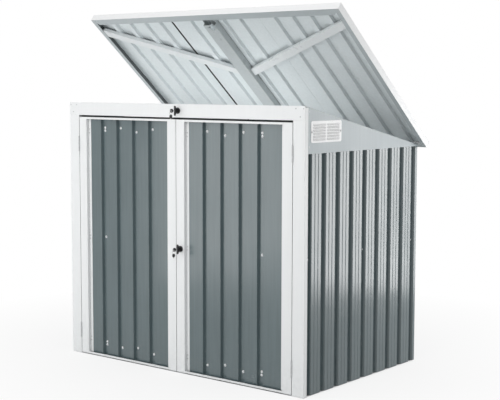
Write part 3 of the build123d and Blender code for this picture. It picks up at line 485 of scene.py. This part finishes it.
# Carcass screws: mid rails, gable corners, vent plates, header ends
SIDES = (("left", -1), ("right", 1))
MID_RAIL = 620 * MM
WALL_SCREW_SHIFT = 9 * MM
WALL_VALLEYS = [step * WALL_PITCH + WALL_SCREW_SHIFT for step in (-4, 0, 4)]
REAR_VALLEYS = [(step + 0.5) * WALL_PITCH for step in (-6, -3, 2, 5)]
GABLE_CORNERS = ((6.3, 1277.6), (6.3, 1122.3), (900.0, 1112.0))
HEADER_ENDS = ((8.0, 12.0), (50.0, 12.0), (26.0, 48.0))
VENT_EDGE = 7 * MM
for hand, side in SIDES:
    wall_low, wall_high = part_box(f"{hand}_wall")
    crest = max(abs(wall_low.x), abs(wall_high.x))
    valley_x = side * (crest - VALLEY_DEPTH)
    outward = (side, 0, 0)
    screws(f"{hand}_wall_screws", "carcass", "frame_white", outward,
           [Vector((valley_x, y, MID_RAIL)) for y in WALL_VALLEYS], SMALL)
    gable_low, gable_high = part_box(f"{hand}_gable")
    gable_x = side * max(abs(gable_low.x), abs(gable_high.x))
    screws(f"{hand}_gable_screws", "carcass", "zinc", outward,
           [Vector((gable_x, gable_low.y + y * MM, z * MM)) for y, z in GABLE_CORNERS], SMALL)
vent_low, vent_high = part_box("gable_vents")
for hand, side in SIDES:
    places = [Vector((side * vent_high.x, y, (vent_low.z + vent_high.z) / 2))
              for y in (vent_low.y + VENT_EDGE, vent_high.y - VENT_EDGE)]
    screws(f"{hand}_vent_screws", "carcass", "zinc", (side, 0, 0), places, SMALL)
rear_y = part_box("rear_left_wall")[1].y - VALLEY_DEPTH
screws("rear_wall_screws", "carcass", "frame_white", (0, 1, 0),
       [Vector((x, rear_y, MID_RAIL)) for x in REAR_VALLEYS], SMALL)
header_low, header_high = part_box("header")
header_places = []
for inset, drop in HEADER_ENDS:
    for x in (header_low.x + inset * MM, header_high.x - inset * MM):
        header_places.append(Vector((x, header_low.y, header_high.z - drop * MM)))
screws("header_screws", "carcass", "zinc", (0, -1, 0), header_places, SMALL)

# Lid screws, in millimetres: through the trims' caps into the sheets, and at the mitres underneath
LID_SIDE = 788
LID_TOP = 40.5
LID_FLANGE = 4.5
LID_FRONT = -998
LID_REAR = 20
LID_PITCH = 105
CAP_INSET = 10
CAP_STEPS_ACROSS = range(-7, 8)
CAP_STEPS_ALONG = (-1, -3, -5, -7, -9)
CORNER_SCREWS = ((8, 4), (8, 24))


def lid_point(x, along, up):
    """Point of the lid from millimetres across it, back from its hinge line and up from its plane."""
    return joint_place["lid_hinge"] + Vector((x, 0, 0)) * MM + LID_BACK * along * MM + LID_UP * up * MM


caps = [lid_point(LID_PITCH * step, along, LID_TOP)
        for step in CAP_STEPS_ACROSS for along in (LID_FRONT + CAP_INSET, LID_REAR - CAP_INSET)]
caps += [lid_point(side * (LID_SIDE - CAP_INSET), LID_PITCH * step, LID_TOP)
         for side in (-1, 1) for step in CAP_STEPS_ALONG]
screws("lid_cap_screws", "lid", "lid_trim", LID_UP, caps, SMALL)
corners = [lid_point(side * (LID_SIDE - x), LID_FRONT + along, LID_FLANGE)
           for side in (-1, 1) for x, along in CORNER_SCREWS]
screws("lid_corner_screws", "lid", "zinc", -LID_UP, corners, SMALL)

# Lid hinge screws on the rear wall
LEAF_SCREW_X = 18
LEAF_SCREW_DROPS = (16, 31)
HINGE_X = 550
LEAF_FACE = 478.7 * MM
hinge_height = joint_place["lid_hinge"].z
screws("lid_hinge_screws", "carcass", "zinc", (0, 1, 0),
       [Vector(((side * HINGE_X + shift) * MM, LEAF_FACE, hinge_height - drop * MM))
        for side in (-1, 1) for shift in (-LEAF_SCREW_X, LEAF_SCREW_X) for drop in LEAF_SCREW_DROPS], SMALL)

# Key heads, in millimetres: moulded black covers on the bows
HEAD_POWER = 2.6
HEAD_SIDES = 28
HEAD_HALF = 2.3
HEAD_EDGE = 0.8
HEAD_SKIN = 0.4
BOW_RADIUS = 9.0
BOW_HOLE = 3.7
HOLE_FROM_EDGE = 4.0
SPARE_RADIUS = 8.0
SPARE_HOLE = 2.6
SPARE_HOLE_RISE = 4.6
RING_REACH = 9.6
RING_TO_BOW = 14.95


def rounded_square(radius, turn):
    """Point of an outline between a circle and a square."""
    reach = (abs(cos(turn)) ** HEAD_POWER + abs(sin(turn)) ** HEAD_POWER) ** (-1 / HEAD_POWER)
    return radius * reach * cos(turn), radius * reach * sin(turn)


def key_head(name, body, centre, radius, hole, hole_radius):
    """Pillowed cover in the plane of Y and Z with the ring's hole; hole is its offset from the centre."""
    form = bmesh.new()
    turns = [2 * pi * side / HEAD_SIDES for side in range(HEAD_SIDES)]
    straight = HEAD_HALF - HEAD_EDGE
    layers = ((-HEAD_HALF, HEAD_EDGE), (-straight, 0.0), (straight, 0.0), (HEAD_HALF, HEAD_EDGE))
    outer = [loop(form, [(x, *rounded_square(radius - inset, turn)) for turn in turns])
             for x, inset in layers]
    bore = [(hole[0] + hole_radius * cos(turn), hole[1] + hole_radius * sin(turn)) for turn in turns]
    bores = [loop(form, [(x, *point) for point in bore]) for x in (-HEAD_HALF, HEAD_HALF)]
    for (low, _), (high, _) in zip(outer, outer[1:]):
        wall(form, low, high)
    wall(form, bores[1][0], bores[0][0])
    for (_, rim), (_, mouth) in ((outer[0], bores[0]), (outer[-1], bores[1])):
        bmesh.ops.triangle_fill(form, edges=rim + mouth, use_beauty=True)
    bmesh.ops.recalc_face_normals(form, faces=form.faces)
    bmesh.ops.transform(form, matrix=Matrix.Translation(centre) @ Matrix.Scale(MM, 4), verts=form.verts)
    new_piece(name, form, body, "lock_black")


for lock in ("lid", "door"):
    key_low, key_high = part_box(f"{lock}_lock_key")
    centre = (key_low + key_high) / 2
    centre.y = key_low.y + BOW_RADIUS * MM
    key_head(f"{lock}_key_head", f"{lock}_lock", centre, BOW_RADIUS + HEAD_SKIN,
             (HOLE_FROM_EDGE - BOW_RADIUS, 0.0), BOW_HOLE)
    spare_low, spare_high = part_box(f"{lock}_lock_spare_key")
    centre = (spare_low + spare_high) / 2
    centre.z = spare_high.z - (RING_REACH + RING_TO_BOW) * MM
    key_head(f"{lock}_spare_key_head", f"{lock}_keys", centre, SPARE_RADIUS + HEAD_SKIN,
             (0.0, SPARE_HOLE_RISE), SPARE_HOLE)

# Dark strips that are painted shadow: along the left lap of the lid sheets, placed in millimetres, and in the
# gap over the doors' top rails
BEAD_SIDES = 6
LAP_SHADOW_X = -281
LAP_SHADOW_UP = 38.7
LAP_SHADOW_ENDS = (-955, -25)
LAP_SHADOW_WIDTH = 13 * MM
LAP_SHADOW_HEIGHT = 2.5 * MM
HEAD_SHADOW_SETBACK = 19 * MM
HEAD_SHADOW_WIDTH = 9 * MM
HEAD_SHADOW_HEIGHT = 8.2 * MM


def bead(name, body, slot, start, end, outward, width, height):
    """Half-round strip between two points, its back on a sheet."""
    form = bmesh.new()
    across = (end - start).normalized().cross(outward)
    turns = [pi * step / BEAD_SIDES for step in range(BEAD_SIDES + 1)]
    section = [across * width / 2 * cos(turn) + outward * height * sin(turn) for turn in turns]
    ends = [loop(form, [point + offset for offset in section])[0] for point in (start, end)]
    wall(form, *ends)
    form.faces.new(ends[0])
    form.faces.new(ends[1])
    bmesh.ops.recalc_face_normals(form, faces=form.faces)
    new_piece(name, form, body, slot)


# painted shadow: a black strip where the left lap of the lid sheets shows a dark line of shade
lap_shadow_ends = [lid_point(LAP_SHADOW_X, along, LAP_SHADOW_UP) for along in LAP_SHADOW_ENDS]
bead("lid_lap_shadow_strip", "lid", "lock_black", *lap_shadow_ends, -LID_UP, LAP_SHADOW_WIDTH, LAP_SHADOW_HEIGHT)
# painted shadow: a black strip on each door's top rail fills the gap under the header with dark
for hand in ("left", "right"):
    low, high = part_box(f"{hand}_door_top_rail")
    stiles = [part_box(f"{hand}_door_{stile}_stile") for stile in ("hinge", "meeting")]
    reach = (min(stile[0].x for stile in stiles), max(stile[1].x for stile in stiles))
    ends = [Vector((x, low.y + HEAD_SHADOW_SETBACK, high.z)) for x in reach]
    bead(f"{hand}_door_head_shadow_strip", f"{hand}_door", "lock_black", *ends, Vector((0, 0, 1)),
         HEAD_SHADOW_WIDTH, HEAD_SHADOW_HEIGHT)

# Stage: floor, sky and soft lamps, each with its place, target, size, brightness and whether gloss shows it
FLOOR_REACH = 30.0
FLOOR_COLOUR = (0.80, 0.80, 0.80)
FLOOR_GLOW = 0.80
SHADOW_ROUND = (0.6, 2.2)
BODY_HALVES = (0.75, 0.478)
BODY_EDGE = (0.98, 1.0)
DOME_RANGE = (-0.1, 0.6)
DOME_LOW = 0.30
DOME_HIGH = 0.75
SOFTBOXES = {
    "panel_front": ((-1.5, -2.67, 0.66), (0.33, -0.46, 0.65), (1.0, 1.3), 1.5, True),
    "key_right": ((0.9, -2.6, 3.3), (0.0, -0.45, 1.0), (1.6, 1.2), 4.2, True),
    "panel_side": ((2.15, 1.75, 0.73), (0.75, 0.0, 0.73), (1.2, 1.4), 4.2, True),
    "fill_low": ((0.4, -3.2, 0.4), (0.0, -0.2, 1.6), (2.6, 0.6), 2.0, False),
    "fill_left": ((-1.5, -3.2, 1.25), (0.0, -0.1, 1.5), (1.6, 0.8), 4.6, False),
    "lid_lamp": ((-0.12, -0.10, 0.96), (-0.12, 0.37, 1.60), (1.1, 0.40), 2.9, False),
}


def seen_directly(tree):
    """One for rays from the camera, a mirror or a glass, nought for the rest."""
    path = tree.nodes.new("ShaderNodeLightPath")
    shown = combine(tree, "MAXIMUM", path.outputs["Is Camera Ray"], path.outputs["Is Glossy Ray"])
    return combine(tree, "MAXIMUM", shown, path.outputs["Is Transmission Ray"])


def floor_glow(tree):
    """Share of the floor's glow: weaker round the object, so that its shadow stays, and none inside it."""
    place = geometry(tree, "Position")
    away = tree.nodes.new("ShaderNodeVectorMath")
    away.operation = "LENGTH"
    tree.links.new(place, away.inputs[0])
    fade = stretch(tree, away.outputs["Value"], *SHADOW_ROUND, FLOOR_GLOW, 1.0)
    reaches = [combine(tree, "DIVIDE", combine(tree, "ABSOLUTE", coordinate(tree, place, axis), 0.0), half)
               for axis, half in zip("XY", BODY_HALVES)]
    outside = stretch(tree, combine(tree, "MAXIMUM", *reaches), *BODY_EDGE, 0.0, 1.0)
    return combine(tree, "MULTIPLY", fade, outside)


def white_floor():
    """Large pale floor: mostly plain white where it is seen, with the object's shadow left in it."""
    mesh = bpy.data.meshes.new("floor")
    grid = bmesh.new()
    bmesh.ops.create_grid(grid, x_segments=1, y_segments=1, size=FLOOR_REACH)
    grid.to_mesh(mesh)
    grid.free()
    floor = bpy.data.objects.new("floor", mesh)
    bpy.context.scene.collection.objects.link(floor)
    material = bpy.data.materials.new("floor_white")
    tree, surface = emptied(material, "ShaderNodeOutputMaterial")
    diffuse = tree.nodes.new("ShaderNodeBsdfDiffuse")
    feed(tree, diffuse.inputs["Color"], FLOOR_COLOUR)
    glow = tree.nodes.new("ShaderNodeEmission")
    feed(tree, glow.inputs["Color"], WHITE)
    glow.inputs["Strength"].default_value = 1.0
    glowing = combine(tree, "MULTIPLY", seen_directly(tree), floor_glow(tree))
    surfaced(tree, glowing, diffuse.outputs["BSDF"], glow.outputs["Emission"], surface)
    floor.data.materials.append(material)


def sky():
    """White where it is seen; as a light, a dome that is brighter above than at the horizon."""
    world = bpy.data.worlds.new("studio")
    bpy.context.scene.world = world
    tree, surface = emptied(world, "ShaderNodeOutputWorld")
    direction = tree.nodes.new("ShaderNodeTexCoord").outputs["Generated"]
    level = stretch(tree, coordinate(tree, direction, "Z"), *DOME_RANGE, DOME_LOW, DOME_HIGH)
    dome = tree.nodes.new("ShaderNodeBackground")
    tree.links.new(level, dome.inputs["Strength"])
    plain = tree.nodes.new("ShaderNodeBackground")
    feed(tree, plain.inputs["Color"], WHITE)
    plain.inputs["Strength"].default_value = 1.0
    surfaced(tree, seen_directly(tree), dome.outputs["Background"], plain.outputs["Background"], surface)


def softbox(name, place, target, size, radiance, mirrored):
    """Rectangular area light aimed at a point, of a given brightness; mirrored ones show in gloss."""
    data = bpy.data.lights.new(name, "AREA")
    data.shape = "RECTANGLE"
    data.size, data.size_y = size
    data.energy = radiance * pi * size[0] * size[1]
    light = bpy.data.objects.new(name, data)
    light.location = place
    light.rotation_euler = (Vector(target) - Vector(place)).to_track_quat("-Z", "Y").to_euler()
    light.visible_camera = False
    light.visible_glossy = mirrored
    bpy.context.scene.collection.objects.link(light)


white_floor()
sky()
for name, settings in SOFTBOXES.items():
    softbox(name, *settings)

# Camera fitted to the photograph
AZIMUTH = radians(38.8)
PITCH = radians(5.62)
ROLL = radians(0.12)
SENSOR = 36.0
LENS = 84.26
STATION = (3.768, -4.6135, 1.395)
camera_data = bpy.data.cameras.new("camera")
camera_data.sensor_width = SENSOR
camera_data.lens = LENS
camera = bpy.data.objects.new("camera", camera_data)
forward = Vector((-sin(AZIMUTH) * cos(PITCH), cos(AZIMUTH) * cos(PITCH), -sin(PITCH)))
turn = forward.to_track_quat("-Z", "Y").to_matrix().to_4x4() @ Matrix.Rotation(ROLL, 4, "Z")
camera.matrix_world = Matrix.Translation(STATION) @ turn
bpy.context.scene.collection.objects.link(camera)
bpy.context.scene.camera = camera

bpy.context.scene.view_settings.view_transform = "Standard"
